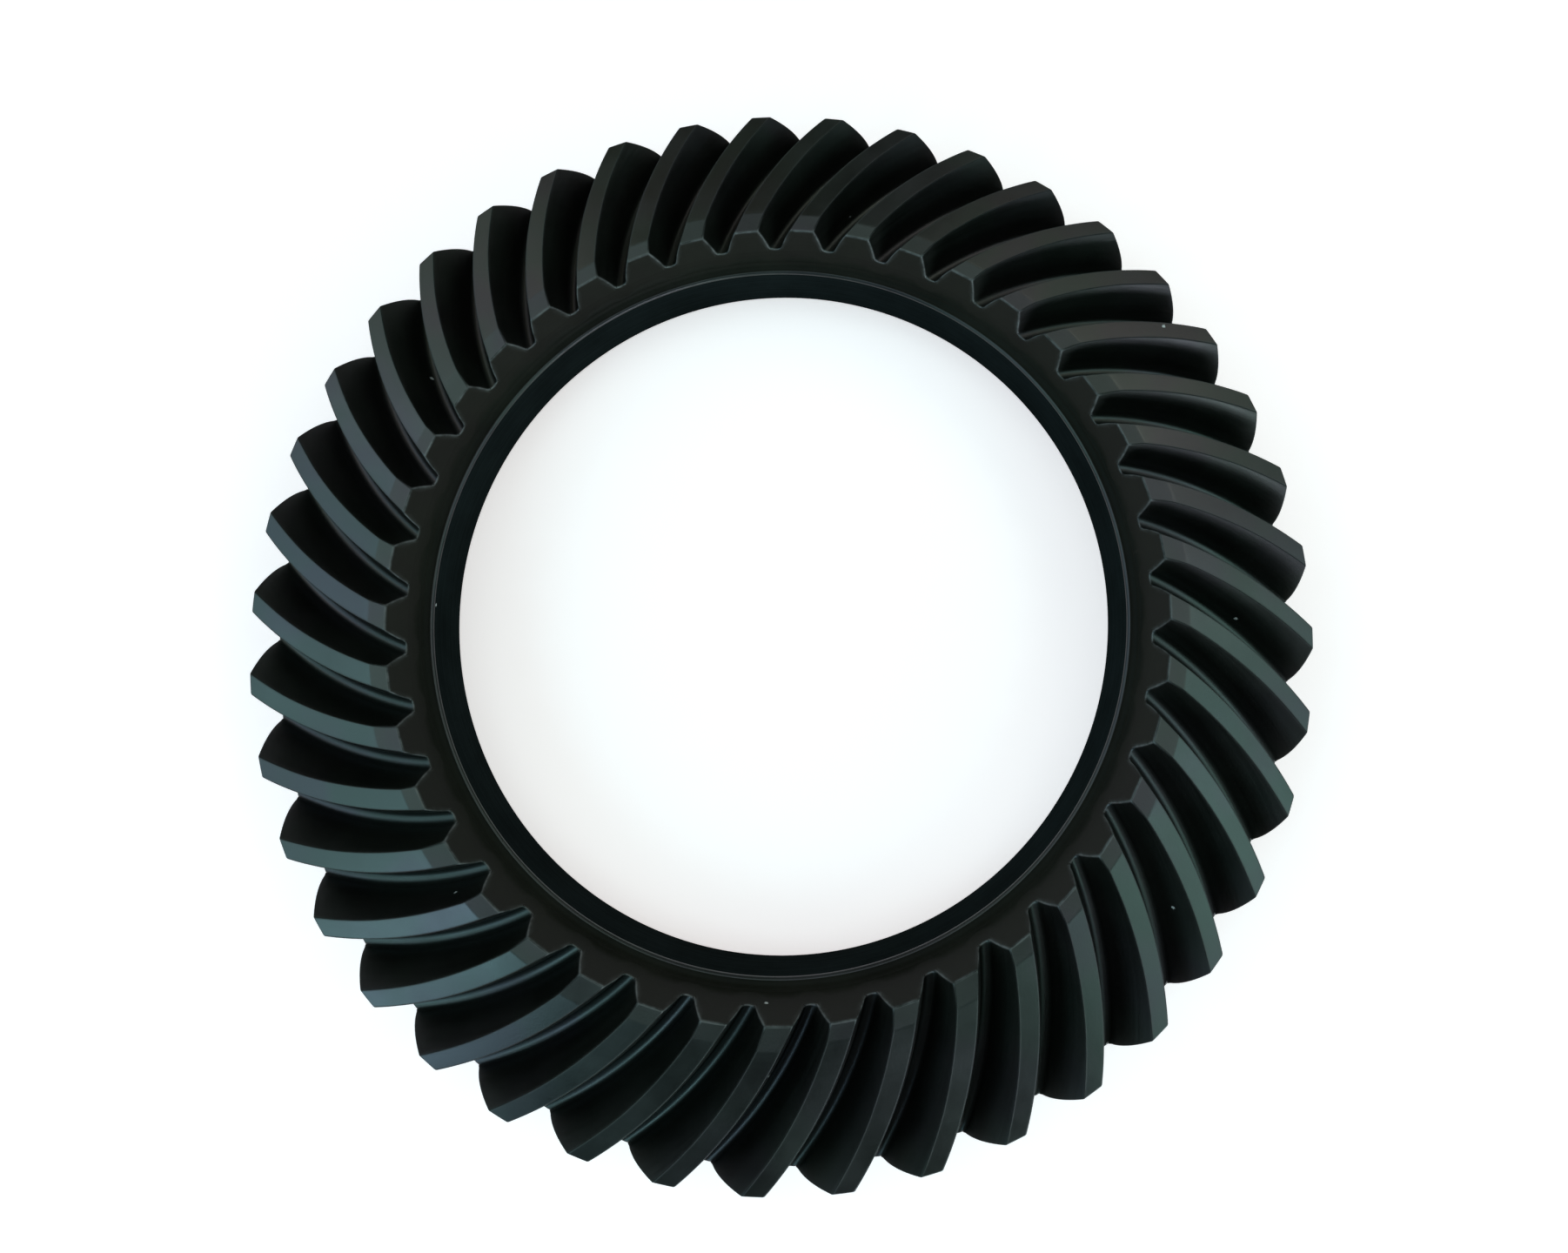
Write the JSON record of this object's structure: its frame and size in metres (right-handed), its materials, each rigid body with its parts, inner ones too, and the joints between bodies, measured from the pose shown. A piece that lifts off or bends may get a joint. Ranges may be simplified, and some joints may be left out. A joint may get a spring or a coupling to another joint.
{
  "type": "spiral bevel crown wheel",
  "caption": "One-piece right-hand spiral bevel ring gear with curved teeth on its front face, a large pilot bore and a flat back drilled and tapped for a carrier flange.",
  "frame": {"origin": "on the axis, in the flat mounting face at the back of the wheel", "axes": "+Z along the axis, from the mounting face towards the teeth; +X and +Y lie in the mounting face"},
  "size_m": [0.1999, 0.2, 0.0263],
  "materials": {
    "phosphated_steel": "black phosphate over machined forging steel, satin"
  },
  "bodies": {
    "root": {"crown_wheel": "phosphated_steel"}
  },
  "joints": []
}
